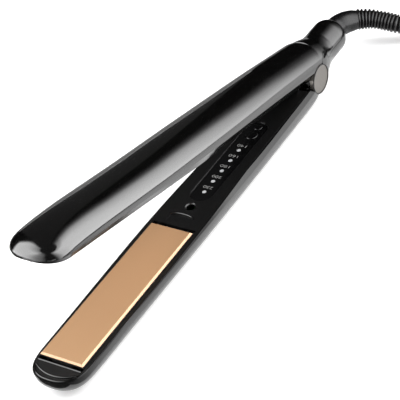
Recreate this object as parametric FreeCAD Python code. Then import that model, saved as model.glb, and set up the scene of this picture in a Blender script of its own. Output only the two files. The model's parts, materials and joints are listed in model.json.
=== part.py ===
import FreeCAD, Part
import math, os
from FreeCAD import Vector as V

os.makedirs("parts", exist_ok=True)

# ---------------------------------------------------------------- driving dimensions (mm)
# Working frame: hinge axis on Y through the origin, the plane where the plates meet is z = 0,
# +X runs to the tip.  Every piece is moved to the final frame when it is written.
OPEN_DEG      = 14.4     # opening of the upper arm at rest
TIP_X         = 251.0    # tip of the lower arm
UP_TIP        = 248.2    # tip of the upper arm, measured along itself
TAIL_X        = -43.3    # end face of the tail
FLOOR_Z       = -16.7    # flat strip on the back of the lower arm
BARREL_Z      = -17.0    # lowest line of the round back before the flat is cut
TAIL_R        = 10.4     # radius of the tail barrel
TAIL_CZ       = 1.27     # height of the tail axis
WALL          = 1.8      # wall of the shells
COVER_Z       = -1.45    # face of the lower inner cover below the plate face, level as far as COVER_BEND
COVER_BEND    = 140.0
COVER_SLOPE   = 0.007    # from there the cover falls gently towards the tip
UCOVER_Z      = 1.05     # face of the upper inner cover in the frame of its own arm
UP_BASE       = 1.6      # height from which the back of the upper arm is given
COVER_T       = 1.4      # thickness of the inner cover
PLATE_X0      = 137.5    # rear edge of the heating plate
PLATE_X1      = 238.0    # front edge of the heating plate
PLATE_W       = 25.0     # width of the heating plate
PLATE_T       = 2.2
PLATE_CHAMFER = 0.9
WIN_X0, WIN_X1 = 134.9, 241.3   # window for the plate in the inner cover
WIN_W         = 25.8
PANEL_X0, PANEL_X1, PANEL_W = 43.3, 113.9, 13.2   # control panel (stadium)
LED_X         = [105.4, 96.25, 87.1, 77.95, 68.8]
LED_D         = 2.2
POWER_X, POWER_D = 54.9, 7.0
TEMP_X, TEMP_D   = 47.4, 5.2
BUTTON_GAP    = 0.25
HOLE_X, HOLE_D = 119.0, 5.0
PEG_D         = 3.4
CAP_R, CAP_Y  = 8.3, 14.06
CAP_POCKET_R  = 8.6
EAR_R, EAR_Y0, EAR_Y1 = 8.2, 10.3, 11.9
BOSS_R, BOSS_Y = 7.6, 10.1
PIN_R         = 2.5
BUSH_R        = 4.0
FIT           = 0.05     # running fit of the pin in its bushes, radial
SEAM_A        = (-3.4, 8.2)     # two points of the sloping seam behind the upper arm
SEAM_B        = (-8.3, 16.7)
SEAM_GAP      = 0.35
SCREW_X       = (150.0, 220.0)   # screws of the plate carriers
CORD_D        = 7.0
CORD_LEN      = 2500.0

ORIGIN_X = (TAIL_X + TIP_X) / 2.0
SHIFT = V(-ORIGIN_X, 0, -FLOOR_Z)

# ---------------------------------------------------------------- helpers
def law(pts):
    """Monotone cubic through (x, value) pairs, flat beyond the ends."""
    xs = [p[0] for p in pts]; ys = [p[1] for p in pts]; n = len(xs)
    h = [xs[i+1]-xs[i] for i in range(n-1)]
    d = [(ys[i+1]-ys[i])/h[i] for i in range(n-1)]
    m = [0.0]*n
    for i in range(1, n-1):
        if d[i-1]*d[i] > 0:
            w1 = 2*h[i]+h[i-1]; w2 = h[i]+2*h[i-1]
            m[i] = (w1+w2)/(w1/d[i-1]+w2/d[i])
    m[0] = d[0]; m[-1] = d[-1]
    def f(x):
        if x <= xs[0]: return ys[0]
        if x >= xs[-1]: return ys[-1]
        for i in range(n-1):
            if x <= xs[i+1]: break
        t = (x-xs[i])/h[i]
        return ((2*t**3-3*t**2+1)*ys[i]+(t**3-2*t**2+t)*h[i]*m[i]
                + (-2*t**3+3*t**2)*ys[i+1]+(t**3-t**2)*h[i]*m[i+1])
    return f

def box(x0, x1, y0, y1, z0, z1):
    return Part.makeBox(x1-x0, y1-y0, z1-z0, V(x0, y0, z0))

def cyl(p, d, r, h):
    return Part.makeCylinder(r, h, V(*p), V(*d))

def prism_xz(pts, y0, y1):
    w = Part.makePolygon([V(x, y0, z) for x, z in pts] + [V(pts[0][0], y0, pts[0][1])])
    return Part.Face(w).extrude(V(0, y1-y0, 0))

def stadium(x0, x1, w, z0, z1):
    r = w/2.0
    s = box(x0+r, x1-r, -r, r, z0, z1)
    s = s.fuse([cyl((x0+r, 0, z0), (0, 0, 1), r, z1-z0), cyl((x1-r, 0, z0), (0, 0, 1), r, z1-z0)])
    return s.removeSplitter()

def rounded_box(x0, x1, y0, y1, z0, z1, r):
    b = box(x0, x1, y0, y1, z0, z1)
    es = [e for e in b.Edges if abs(e.tangentAt(e.FirstParameter).z) > 0.9]
    return b.makeFillet(r, es)

def half_points(x, a, zw, b, n, up, count=13):
    """Half of a superellipse from (+a) round to (-a), as points at even angles."""
    pts = []
    for i in range(count):
        t = math.pi*i/(count-1)
        c, s = math.cos(t), math.sin(t)
        r = 1.0/((abs(c)/a)**n+(abs(s)/b)**n)**(1.0/n)
        pts.append(V(x, r*c, zw+(1 if up else -1)*r*s))
    pts[0] = V(x, a, zw); pts[-1] = V(x, -a, zw)
    return pts

def curve(pts):
    bs = Part.BSplineCurve()
    bs.interpolate(Points=pts, Parameters=[i/(len(pts)-1.0) for i in range(len(pts))])
    return bs.toShape()

def half_section(pts, corners):
    """The half curve closed by straight lines through the given corners."""
    edges = [curve(pts)]
    last = pts[-1]
    for q in list(corners)+[pts[0]]:
        edges.append(Part.makeLine(last, q)); last = q
    return Part.Wire(edges)

def full_section(low, up):
    """Closed section from a lower and an upper half curve that share their ends."""
    return Part.Wire([curve(low), curve(list(reversed(up)))])

def loft(wires):
    s = Part.makeLoft(wires, True, False)
    if s.Volume < 0: s = s.reversed()
    return s

def nose_stations(x_from, xt, x1, last=86.0, n=12):
    """Stations that crowd towards the tip."""
    out = []
    for i in range(n+1):
        th = math.radians(last*i/n)
        out.append(x1+(xt-x1)*math.sin(th))
    return [x for x in out if x > x_from]

def tube(points, r):
    """Round tube along straight runs joined by tangent arcs; returns the solid and the radii."""
    P = [V(*p) for p in points]
    edges = []; radii = []; start = P[0]
    for i in range(1, len(P)-1):
        a = P[i-1]-P[i]; b = P[i+1]-P[i]
        la, lb = a.Length, b.Length
        a.normalize(); b.normalize()
        turn = math.pi - a.getAngle(b)
        d = 0.45*min(la, lb)
        R = d/math.tan(turn/2.0)
        p1 = P[i]+a*d; p2 = P[i]+b*d
        bis = a+b; bis.normalize()
        mid = P[i]+bis*(R/math.cos(turn/2.0)-R)
        if (p1-start).Length > 1e-6: edges.append(Part.LineSegment(start, p1).toShape())
        edges.append(Part.Arc(p1, mid, p2).toShape())
        start = p2; radii.append(R)
    edges.append(Part.LineSegment(start, P[-1]).toShape())
    w = Part.Wire(edges)
    t = (P[1]-P[0]); t.normalize()
    prof = Part.Wire([Part.Circle(P[0], t, r).toShape()])
    s = w.makePipeShell([prof], True, False)
    return s, radii, w.Length

def loft_circles(stations):
    """Solid through circles given as (point, direction, radius)."""
    ws = []
    for p, d, r in stations:
        d = V(*d); d.normalize()
        xa = V(0, 0, 1).cross(d)
        if xa.Length < 1e-3: xa = V(1, 0, 0)
        xa.normalize()
        c = Part.Circle(V(*p), d, r)
        # the same starting direction in every section keeps the surface untwisted
        N = 13; pts = []
        ya = d.cross(xa)
        for i in range(N-1):
            t = 2*math.pi*i/(N-1)
            pts.append(V(*p)+xa*(r*math.cos(t))+ya*(r*math.sin(t)))
        bs = Part.BSplineCurve(); bs.interpolate(Points=pts, PeriodicFlag=True)
        ws.append(Part.Wire([bs.toShape()]))
    return loft(ws)

def mirror_up(s):
    return s.mirror(V(0, 0, 0), V(0, 0, 1))

def open_up(s):
    s = s.copy(); s.rotate(V(0, 0, 0), V(0, 1, 0), -OPEN_DEG)
    return s

out = {}
def put(name, shape):
    """Collects a piece; a list becomes a group of separate solids."""
    if isinstance(shape, (list, tuple)):
        sol = []
        for s in shape: sol += s.Solids
        shape = Part.makeCompound(sol) if len(sol) > 1 else sol[0]
    elif shape.ShapeType != "Solid":
        sol = shape.Solids
        shape = sol[0] if len(sol) == 1 else Part.makeCompound(sol)
    out[name] = shape

# ---------------------------------------------------------------- section laws
def tail_r(x):
    u = max(0.0, (-x-35.5)/9.6)
    return TAIL_R*(1-u**2.3)**(1/2.3)

a_mid = law([(-24, 10.4), (-21, 10.7), (-18, 11.3), (-14.3, 12.3), (-9, 13.4), (-4.6, 13.85), (0, 14.05),
             (8, 14.35), (16, 14.52), (40, 14.8), (60, 15.07), (80, 15.33), (100, 15.54), (130, 15.72), (165, 15.55),
             (200, 15.12), (220, 14.97), (232, 14.91)])
zw_low = law([(-24, 1.27), (-18, 1.27), (-9, 0.6), (0, -1.5), (8, -3.3), (16, -3.79), (40, -3.97), (60, -4.04),
              (80, -3.93), (100, -3.52), (130, -2.84), (165, -2.4), (200, -2.35), (220, -2.66), (232, -2.66)])
zb_low = law([(-24, -9.13), (-21, -9.5), (-18, -10.5), (-14.3, -12.3), (-9, -14.1), (-4.6, -15.3), (0, -16.1),
              (6, -16.7), (12, -16.95), (18, BARREL_Z), (200, BARREL_Z)])
zt_tail = law([(-24, 11.67), (-21, 12.05), (-18, 12.75), (-14.3, 14.25), (-9, 16.0), (-4.6, 16.9), (-1, 17.3)])
n_law = law([(-24, 2.0), (-9, 2.1), (0, 2.35), (8, 2.53), (16, 2.5), (40, 2.43), (80, 2.33), (130, 2.3), (200, 2.35), (232, 2.4)])
LIP = 0.35                                 # rim of the shell beside the cover
y_rim = law([(8, 12.6), (16, 12.6), (60, 12.75), (90, 13.9), (120, 15.0), (135, 15.3), (150, 15.35), (170, 15.3),
             (190, 15.2), (210, 15.0), (232, 14.7)])
def y_cov(x): return y_rim(x)-LIP
def z_cov(x): return COVER_Z-COVER_SLOPE*max(0.0, x-COVER_BEND)
b_up = law([(-14, 11.2), (-9, 14.2), (-4, 15.8), (0, 15.95), (4, 15.95), (14, 15.9), (38, 15.85), (62, 15.36),
            (85, 14.8), (108, 14.4), (132, 13.8), (160, 13.05), (190, 12.83), (220, 12.76)])

NX1, NXT, NK = 232.5, TIP_X, 2.6          # plan of the lower nose
UNX1 = 232.2                               # where the upper nose begins to round
NLOW, KLOW = 29.5, 2.45                    # length and fullness of the lower nose rise
NUP, KUP = 49.7, 2.3                       # the same of the upper nose

def nose_plan(x, base, xt=NXT, x1=NX1, k=NK):
    if x <= x1: return base
    u = min(0.99999, (x-x1)/(xt-x1))
    return base*(1-u**k)**(1/k)

def nose_depth(x, base, length, xt=NXT, k=KLOW):
    x2 = xt-length
    if x <= x2: return base
    u = min(0.99999, (x-x2)/(xt-x2))
    return base*(1-u**k)**(1/k)

def a_out(x):
    return tail_r(x) if x < -24 else nose_plan(x, a_mid(x))

# ---------------------------------------------------------------- lower shell
JOIN_X = 3.0          # the open arm trough begins here, the closed tail barrel ends here
nose_x = nose_stations(233.5, NXT, NX1, 86.5, 9)
arm_x = [JOIN_X, 6, 10, 16, 24, 40, 60, 80, 100, 120, 140, 160, 180, 198, 210, 220, 228, 233]+nose_x
tail_x = [TAIL_X, -42.6, -41.7, -40.4, -38.6, -36.4, -33, -29, -25, -22.5, -20, -17.5, -15, -12, -9, -6, -3, 0, JOIN_X]

def low_dims(x, t=0.0, xt=NXT):
    a = (tail_r(x) if x < -24 else nose_plan(x, a_mid(x), xt))-t
    if x < -24:
        zb = TAIL_CZ-tail_r(x)+t; zw = TAIL_CZ
    else:
        zw = zw_low(x); zb = zw-nose_depth(x, zw-zb_low(x), NLOW, xt)+t
    return max(a, 0.3), zw, max(zw-zb, 0.25), n_law(x)

def arm_section(x):
    a, zw, b, n = low_dims(x)
    yi = min(a-0.25, nose_plan(x, y_rim(x))) if a > 1.5 else a*0.7
    return half_section(half_points(x, a, zw, b, n, False), [V(x, -yi, z_cov(x)), V(x, yi, z_cov(x))])

def arm_cavity(x):
    a, zw, b, n = low_dims(x, WALL, NXT-1.9)
    return half_section(half_points(x, a, zw, b, n, False), [V(x, -a, zw+4.5), V(x, a, zw+4.5)])

def tail_section(x, t=0.0):
    a, zw, b, n = low_dims(x, t)
    zt = (TAIL_CZ+tail_r(x) if x < -24 else zt_tail(x))-t
    return full_section(half_points(x, a, zw, b, n, False), half_points(x, a, zw, zt-zw, n, True))

arm_out = loft([arm_section(x) for x in arm_x])
arm_cav = loft([arm_cavity(x) for x in [JOIN_X, 8, 14, 24, 40, 60, 80, 100, 120, 140, 160, 180, 198, 210, 220, 228,
                                        234, 239, 243, 246.5, 249.2]])
tail_out = loft([tail_section(x) for x in tail_x])
tail_cav = loft([tail_section(x, WALL) for x in [TAIL_X+2.0]+[x for x in tail_x if x > TAIL_X+3.0 and x < 0]+
                 [0, JOIN_X]])

def outline_face(yfun, x0, xt, z, x1=NX1, n=14, k=NK):
    """Flat U-shaped outline with a rounded nose."""
    xs = [x0]+[x for x in (24, 40, 60, 80, 100, 120, 140, 170, 200, 220) if x > x0+2]
    xs += [x1+(xt-x1)*math.sin(math.radians(88.0*i/n)) for i in range(0, n+1)]
    right = [V(x, nose_plan(x, yfun(x), xt, x1, k), z) for x in xs]
    left = [V(p.x, -p.y, z) for p in reversed(right)]
    pts = right+[V(xt, 0, z)]+left
    bs = Part.BSplineCurve(); bs.interpolate(Points=pts)
    return Part.Face(Part.Wire([bs.toShape(), Part.makeLine(pts[-1], pts[0])]))

SEAT_T = 0.1
ZEND = z_cov(260.0)
def low_profile(x0, x1, down, up):
    """Band that follows the face of the lower cover, from down below it to up above it."""
    ze = z_cov(x1)
    return prism_xz([(x0, COVER_Z-down), (COVER_BEND, COVER_Z-down), (x1, ze-down), (x1, ze+up), (COVER_BEND, COVER_Z+up),
                     (x0, COVER_Z+up)], -25, 25)
seat = outline_face(lambda x: y_cov(x)+SEAT_T, 3.0, TIP_X-0.9, -9.0).extrude(V(0, 0, 12.0)).common(
    low_profile(0.0, 262.0, COVER_T+0.02, 3.0))

# region of the tail that belongs to the lower shell: below the stepped side seam
P_LOW = [(-60, -30), (-60, 3.4), (-15.5, 3.4), (-11.8, 9.8), (-7.2, 7.0), (-4.0, 4.0), (0, -1.0), (6, -1.4), (6, -30)]
P_TOP = [(-60, 3.65), (-15.65, 3.65), (-11.75, 10.2), (-7.1, 7.3), (-5.2, 6.3), (-3.4, 8.2),
         (SEAM_B[0], SEAM_B[1]), (-8.3-5.0, 16.7+8.7), (-60, 26)]
seam_n = V(SEAM_B[1]-SEAM_A[1], 0, -(SEAM_B[0]-SEAM_A[0])); seam_n.normalize()   # points to the tip

arm_low = arm_out.cut(arm_cav).cut(seat)
arm_low = arm_low.cut(prism_xz([(2.0, -1.6), (9.5, -1.6), (9.5, 5), (2.0, 5)], -30, 30))
tail_shell = tail_out.cut(tail_cav)
tail_low = tail_shell.common(prism_xz(P_LOW, -30, 30))
lower = arm_low.fuse(tail_low)
# the flat to rest on
lower = lower.cut(box(-60, 270, -30, 30, -30, FLOOR_Z))
ears = []
for s in (1, -1):
    y0, y1 = (EAR_Y0, EAR_Y1) if s > 0 else (-EAR_Y1, -EAR_Y0)
    # the plates go down to the floor of the shell and stay inside its outer form
    foot = box(-EAR_R, JOIN_X, y0, y1, -13.5, 0).common(tail_out)
    foot2 = box(JOIN_X, EAR_R, y0, y1, -13.5, -2).common(arm_out)
    ears += [cyl((0, y0, 0), (0, 1, 0), EAR_R, EAR_Y1-EAR_Y0), foot, foot2]
lower = lower.fuse(ears)
for s in (1, -1):
    y0 = EAR_Y1 if s > 0 else -EAR_Y1-6
    lower = lower.cut(cyl((0, y0, 0), (0, 1, 0), CAP_POCKET_R, 6))
lower = lower.cut(cyl((0, -20, 0), (0, 1, 0), PIN_R, 40))
# neck hole of the cord swivel
lower = lower.cut(cyl((TAIL_X-2, 0, TAIL_CZ), (1, 0, 0), 4.3, 6))
# posts for the plate carrier and the board
def post(x, y, ztop, r):
    return cyl((x, y, -16.2), (0, 0, 1), r, ztop+16.2)
posts = [post(x, 0, -9.0, 3.0) for x in SCREW_X]
posts += [post(x, y, -9.6, 1.6) for x in (42.0, 115.0) for y in (-6.0, 6.0)]
posts.append(box(4.6, 6.0, -5.0, 0.0, -15.8, -11.5))      # lug for the leg of the spring
posts = [q.common(arm_out) for q in posts]
lower = lower.fuse(posts)
for x in SCREW_X:
    lower = lower.cut(cyl((x, 0, -13.6), (0, 0, 1), 1.1, 7))
# screw boss that ties the tail halves together
lower = lower.fuse(cyl((-26.0, 0, -8.4), (0, 0, 1), 2.6, 8.4+TAIL_CZ))
lower = lower.cut(cyl((-26.0, 0, -20), (0, 0, 1), 1.35, 24)).cut(cyl((-26.0, 0, -20), (0, 0, 1), 2.4, 12.6))
put("lower_shell", lower.removeSplitter())

# ---------------------------------------------------------------- tail top cover
top = tail_shell.common(prism_xz(P_TOP, -30, 30))
off = V(seam_n.x, 0, seam_n.z)*(-SEAM_GAP)
d = V(SEAM_B[0]-SEAM_A[0], 0, SEAM_B[1]-SEAM_A[1]); d.normalize()
A = V(SEAM_A[0], 0, SEAM_A[1])+off
p1 = A-d*20; p2 = A+d*30
fwd = V(seam_n.x, 0, seam_n.z)*40
front = prism_xz([(p1.x, p1.z), (p2.x, p2.z), (p2.x+fwd.x, p2.z+fwd.z), (p1.x+fwd.x, p1.z+fwd.z)], -30, 30)
top = top.cut(front)
top = top.cut(cyl((0, -20, 0), (0, 1, 0), CAP_POCKET_R, 40))
top = top.cut(cyl((TAIL_X-2, 0, TAIL_CZ), (1, 0, 0), 4.3, 6))
boss = cyl((-26.0, 0, TAIL_CZ), (0, 0, 1), 2.6, 9.6).cut(cyl((-26.0, 0, TAIL_CZ-1), (0, 0, 1), 1.0, 6.6))
top = top.fuse(boss)
put("tail_top_cover", top.removeSplitter())
put("tail_screw", cyl((-26, 0, -9.0), (0, 0, 1), 2.2, 1.6).fuse(cyl((-26, 0, -7.4), (0, 0, 1), 1.0, 14.0)))

# ---------------------------------------------------------------- lower inner cover
cover = outline_face(y_cov, 11.1, TIP_X-1.0, -9.0).extrude(V(0, 0, 12.0)).common(low_profile(5.0, 262.0, COVER_T, 0.0))
cover = cover.cut(box(WIN_X0, WIN_X1, -WIN_W/2, WIN_W/2, -8, 2))
# crescent scoop behind the plate
R = 18.4
scoop = cyl((126.0+R, 0, -3), (0, 0, 1), R, 4).common(
    prism_xz([(125, COVER_Z-0.75), (132.5, COVER_Z), (132.5, 1), (125, 1)], -7.0, 7.0))
cover = cover.cut(scoop)
# stepped nose in front of the plate
nose_arc = cyl((227.0, 0, -6), (0, 0, 1), 19.7, 10)
step = box(238, 260, -20, 20, z_cov(246.0)-0.55, 2).cut(nose_arc)
cover = cover.cut(step)
# panel opening, hole for the alignment peg
cover = cover.cut(stadium(PANEL_X0, PANEL_X1, PANEL_W, -8, 2))
cover = cover.cut(cyl((HOLE_X, 0, -8), (0, 0, 1), HOLE_D/2, 10))
cover = cover.cut(Part.makeCone(HOLE_D/2, HOLE_D/2+0.5, 0.5, V(HOLE_X, 0, COVER_Z-0.5), V(0, 0, 1)))
put("lower_inner_cover", cover.removeSplitter())

# control lens: sits in the opening, its flange bears on the underside of the cover
cz = COVER_Z-COVER_T
lens = stadium(PANEL_X0+0.1, PANEL_X1-0.1, PANEL_W-0.2, cz, -2.3).fuse(
    stadium(PANEL_X0-1.2, PANEL_X1+1.2, PANEL_W+2.4, cz-1.0, cz))
for x in LED_X:
    lens = lens.cut(cyl((x, 0, -8), (0, 0, 1), LED_D/2, 8))
lens = lens.cut(cyl((POWER_X, 0, -8), (0, 0, 1), POWER_D/2+BUTTON_GAP, 8))
lens = lens.cut(cyl((TEMP_X, 0, -8), (0, 0, 1), TEMP_D/2+BUTTON_GAP, 8))
put("control_lens", lens.removeSplitter())
put("indicator_lights", [cyl((x, 0, -7.2), (0, 0, 1), LED_D/2, 7.2-2.3) for x in LED_X])

def button(x, d, top_z):
    b = cyl((x, 0, -4.2), (0, 0, 1), d/2, 4.2+top_z)
    e = [e for e in b.Edges if abs(e.CenterOfMass.z-top_z) < 1e-3]
    b = b.makeFillet(0.35, e)
    fl = cyl((x, 0, -4.9), (0, 0, 1), d/2+0.1, 0.7)
    return b.fuse(fl).fuse(cyl((x, 0, -5.6), (0, 0, 1), 1.0, 1.2)).removeSplitter()
put("power_button", button(POWER_X, POWER_D, -1.95))
put("temperature_button", button(TEMP_X, TEMP_D, -1.95))

board = box(38, 118, -10.2, 10.2, -9.6, -8.0)
put("control_board", board)
parts_b = []
for x in (POWER_X, TEMP_X):     # tact switches
    parts_b.append(box(x-2.3, x+2.3, -2.3, 2.3, -8.0, -6.6).fuse(cyl((x, 0, -6.6), (0, 0, 1), 1.2, 0.4)))
for x in LED_X:                  # light-emitting diodes
    parts_b.append(box(x-1.0, x+1.0, -0.6, 0.6, -8.0, -7.25))
parts_b.append(box(88, 95, -8.8, -3.5, -8.0, -6.9))       # controller
parts_b.append(box(62, 68, 3.4, 9.4, -8.0, -6.2))         # triac
parts_b.append(box(74, 77.2, 4.0, 5.6, -8.0, -7.4))       # resistors
parts_b.append(box(80, 83.2, 4.0, 5.6, -8.0, -7.4))
parts_b.append(cyl((48, -4.6, -11.6), (1, 0, 0), 2.0, 9))  # capacitor under the board
parts_b.append(box(98, 110, 0.0, 6.0, -12.6, -9.6))       # supply choke
put("board_parts", parts_b)

# ---------------------------------------------------------------- heating plate sets (lower; the upper is the mirror)
def plate_solid():
    p = box(PLATE_X0, PLATE_X1, -PLATE_W/2, PLATE_W/2, -PLATE_T, 0)
    es = [e for e in p.Edges if abs(e.CenterOfMass.z) < 1e-3]
    p = p.makeChamfer(PLATE_CHAMFER, es)
    rails = [box(PLATE_X0+1, PLATE_X1-1, s*9.7-0.5, s*9.7+0.5, -5.2, -PLATE_T) for s in (1, -1)]
    tabs = [box(131.6, PLATE_X0+2, -6, 6, -4.6, -3.5).fuse(box(PLATE_X0, PLATE_X0+2, -6, 6, -3.6, -1.5)),
            box(PLATE_X1-2, 244.0, -6, 6, -5.1, -4.0).fuse(box(PLATE_X1-2, PLATE_X1, -6, 6, -4.1, -1.5))]
    return p.fuse(rails+tabs).removeSplitter()
def heater_solid():
    return rounded_box(150, 228, -6.5, 6.5, -4.6, -PLATE_T, 1.0)
def insulator_solid():
    return box(148, 230, -7.6, 7.6, -4.9, -4.6)
def clamp_solid():
    c = box(150, 228, -8.2, 8.2, -5.3, -4.9)
    slots = [box(x, x+14, s*5.0-1.6, s*5.0+1.6, -6, -4) for x in (156, 182, 208) for s in (1, -1)]
    return c.cut(slots)
def carrier_solid():
    c = box(131.0, 234.0, -11.5, 11.5, -9.0, -7.8)
    walls = [box(131.0, 221.0, s*11.0-0.5, s*11.0+0.5, -7.8, -3.6) for s in (1, -1)]
    c = c.fuse(walls)
    for x in SCREW_X:
        c = c.cut(cyl((x, 0, -10), (0, 0, 1), 1.4, 4))
    # windows under the thermal fuse and the thermistor, so that the plate can sink
    c = c.cut([box(158.5, 182, -5, 5, -10, -7), box(186.5, 208, -5, 5, -10, -7)])
    # the nose narrows to stay inside the shell
    c = c.cut([prism_corner(s) for s in (1, -1)])
    return c.removeSplitter()
def prism_corner(s):
    w = Part.makePolygon([V(220, s*12.5, -11), V(236, s*12.5, -11), V(236, s*5.5, -11), V(220, s*12.5, -11)])
    return Part.Face(w).extrude(V(0, 0, 9))
def carrier_screws():
    r = []
    for x in SCREW_X:
        r.append(cyl((x, 0, -7.8), (0, 0, 1), 2.4, 1.3).fuse(cyl((x, 0, -12.0), (0, 0, 1), 1.1, 4.2)))
    return r
def cushions():
    return [box(x-4, x+4, s*9.35-0.95, s*9.35+0.95, -7.8, -5.2) for x in (142.0, 214.0) for s in (1, -1)]
def fuse_part():
    return [cyl((160, 3.2, -6.35), (1, 0, 0), 1.0, 9)]
def leads(y, z0):
    r = []
    for s in (1, -1):
        r.append(tube([(118.2, s*y, z0), (122.4, s*y, z0), (129.6, s*4.6, -6.6), (158.0, s*4.6, -6.6)], 0.7)[0])
    return r

put("lower_plate", plate_solid())
put("lower_heater", heater_solid())
put("lower_insulator", insulator_solid())
put("lower_heater_clamp", clamp_solid())
put("lower_plate_carrier", carrier_solid())
put("lower_carrier_screws", carrier_screws())
put("lower_cushions", cushions())
put("thermistor", [cyl((188, 0, -6.4), (1, 0, 0), 1.05, 6)])
put("lower_thermal_fuse", fuse_part())
put("lower_heater_leads", leads(7.4, -8.6))

# ---------------------------------------------------------------- upper shell (arm frame, then opened)
up_x = [-14, -11, -8, -5, -2, 1, 4, 8, 13, 20, 30, 44, 60, 78, 98, 118, 138, 158, 178, 192, 203, 212, 220, 226, 230.5]
up_nose = nose_stations(231.5, UP_TIP, UNX1, 86.5, 9)
zw_up = law([(-14, 6.0), (8, 6.0), (60, 5.8), (110, 4.9), (150, 4.5), (225, 4.3), (235, 3.95), (246, 3.6)])
yi_up = law([(-14, 11.4), (12, 11.4), (48, 12.1), (72, 12.9), (96, 13.3), (120, 14.5), (140, 14.8), (200, 14.5), (232, 14.4)])
a_up = law([(-14, 12.6), (-8, 13.4), (-4, 13.8), (0, 14.0), (8, 14.08), (16, 14.25), (40, 14.7), (60, 15.1),
            (100, 15.75), (130, 16.0), (165, 16.1), (200, 16.1), (232, 15.9)])
def z_ucov(x):
    """Face of the upper cover: level, then rising at the nose."""
    return UCOVER_Z+1.18*(max(0.0, x-236.0)/10.0)**1.5
def up_profile(x0, x1, down, up):
    xs = [236.0, 239.0, 242.0, 245.0, 248.0, 251.0]
    lo = [(x0, UCOVER_Z-down)]+[(x, z_ucov(x)-down) for x in xs]
    hi = [(x0, UCOVER_Z+up)]+[(x, z_ucov(x)+up) for x in xs]
    return prism_xz(lo+list(reversed(hi)), -25, 25)
def up_dims(x, t=0.0, xt=UP_TIP):
    zw = zw_up(x)
    a = nose_plan(x, a_up(x), xt, UNX1)-t
    b = nose_depth(x, UP_BASE+b_up(x)-zw, NUP, xt, KUP)-t
    return max(a, 0.3), zw, max(b, 0.25), 2.2
def up_section(x):
    a, zw, b, n = up_dims(x)
    yi = min(a-0.3, nose_plan(x, yi_up(x), UP_TIP, UNX1)) if a > 1.5 else a*0.7
    return half_section(half_points(x, a, zw, b, n, True), [V(x, -yi, z_ucov(x)), V(x, yi, z_ucov(x))])
def up_cavity(x):
    a, zw, b, n = up_dims(x, WALL, UP_TIP-1.9)
    return half_section(half_points(x, a, zw, b, n, True), [V(x, -a, zw-0.3), V(x, a, zw-0.3)])
upper_out = loft([up_section(x) for x in up_x+up_nose])
cav_up = loft([up_cavity(x) for x in [x for x in up_x if -3 < x < 230]+[232, 237, 241, 244.5, 246.8]])
y_cov_up = law([(8, 10.6), (12, 10.7), (48, 11.4), (72, 12.2), (96, 12.6), (120, 13.9), (140, 14.2), (200, 14.0), (232, 14.0)])
UK = 3.0                                   # squarer nose of the upper inner cover, round its window
seat_up = outline_face(lambda x: y_cov_up(x)+SEAT_T, 3.0, UP_TIP-1.4, -4.0, UNX1, 14, UK).extrude(V(0, 0, 12.0)).common(
    up_profile(0.0, 251.0, 3.0, COVER_T+0.02))
seat_in = outline_face(lambda x: y_cov_up(x)-0.7, 3.0, UP_TIP-3.2, UCOVER_Z, UNX1, 14, UK).extrude(V(0, 0, 4.75))
upper = upper_out.cut(cav_up).cut(seat_up).cut(seat_in)
# cut clear of the caps and ears, then add the hinge boss between the ears
for s in (1, -1):
    y0 = BOSS_Y if s > 0 else -BOSS_Y-10
    upper = upper.cut(cyl((0, y0, 0), (0, 1, 0), CAP_POCKET_R+0.1, 10))
bossy = cyl((0, -BOSS_Y, 0), (0, 1, 0), BOSS_R, 2*BOSS_Y)
web = prism_xz([(-3.0, 6.5), (6.5, 3.1), (12.5, 3.1), (12.5, 19.6), (2.0, 19.6), (-2.2, 17.6)], -BOSS_Y, BOSS_Y)
web = web.common(upper_out)
upper = upper.fuse([bossy, web])
# hollow of the boss: room for the torsion spring, a bore at each side for the bushes
upper = upper.cut([cyl((0, -5.6, 0), (0, 1, 0), 5.9, 11.2), cyl((0, -BOSS_Y-1, 0), (0, 1, 0), BUSH_R, 2*BOSS_Y+2),
                   box(2.0, 16.0, -5.2, 5.2, 2.0, 15.2), box(0.6, 6.6, -5.2, 5.2, -8.0, -2.0)])
# posts for the carrier
for x in SCREW_X:
    upper = upper.fuse(cyl((x, 0, 9.0), (0, 0, 1), 3.0, 7.0).common(upper_out))
    upper = upper.cut(cyl((x, 0, 6.5), (0, 0, 1), 1.1, 5.8))
upper = open_up(upper)
# sloping rear seam
A = V(SEAM_A[0], 0, SEAM_A[1]); p1 = A-d*40; p2 = A+d*40; back = V(seam_n.x, 0, seam_n.z)*(-40)
rear = prism_xz([(p1.x, p1.z), (p2.x, p2.z), (p2.x+back.x, p2.z+back.z), (p1.x+back.x, p1.z+back.z)], -30, 30)
rear = rear.cut(cyl((0, -BOSS_Y, 0), (0, 1, 0), BOSS_R+0.001, 2*BOSS_Y))
upper = upper.cut(rear)
put("upper_shell", upper.removeSplitter())

ucover = outline_face(y_cov_up, 11.9, UP_TIP-1.5, -4.0, UNX1, 14, UK).extrude(V(0, 0, 12.0)).common(up_profile(5.0, 251.0, 0.0, COVER_T))
ucover = ucover.cut(box(WIN_X0, 239.0, -WIN_W/2, WIN_W/2, -8, 8))
ucover = ucover.cut(cyl((HOLE_X, 0, -8), (0, 0, 1), PEG_D/2-0.3, 16))
put("upper_inner_cover", open_up(ucover))
peg = cyl((HOLE_X, 0, -3.2), (0, 0, 1), PEG_D/2, 3.2+UCOVER_Z)
peg = peg.makeFillet(0.8, [e for e in peg.Edges if abs(e.CenterOfMass.z+3.2) < 1e-3])
peg = peg.fuse(cyl((HOLE_X, 0, UCOVER_Z-0.01), (0, 0, 1), PEG_D/2-0.3, COVER_T+0.01))
peg = peg.fuse(cyl((HOLE_X, 0, UCOVER_Z+COVER_T), (0, 0, 1), PEG_D/2+0.9, 1.0))
put("alignment_peg", open_up(peg))

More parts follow.
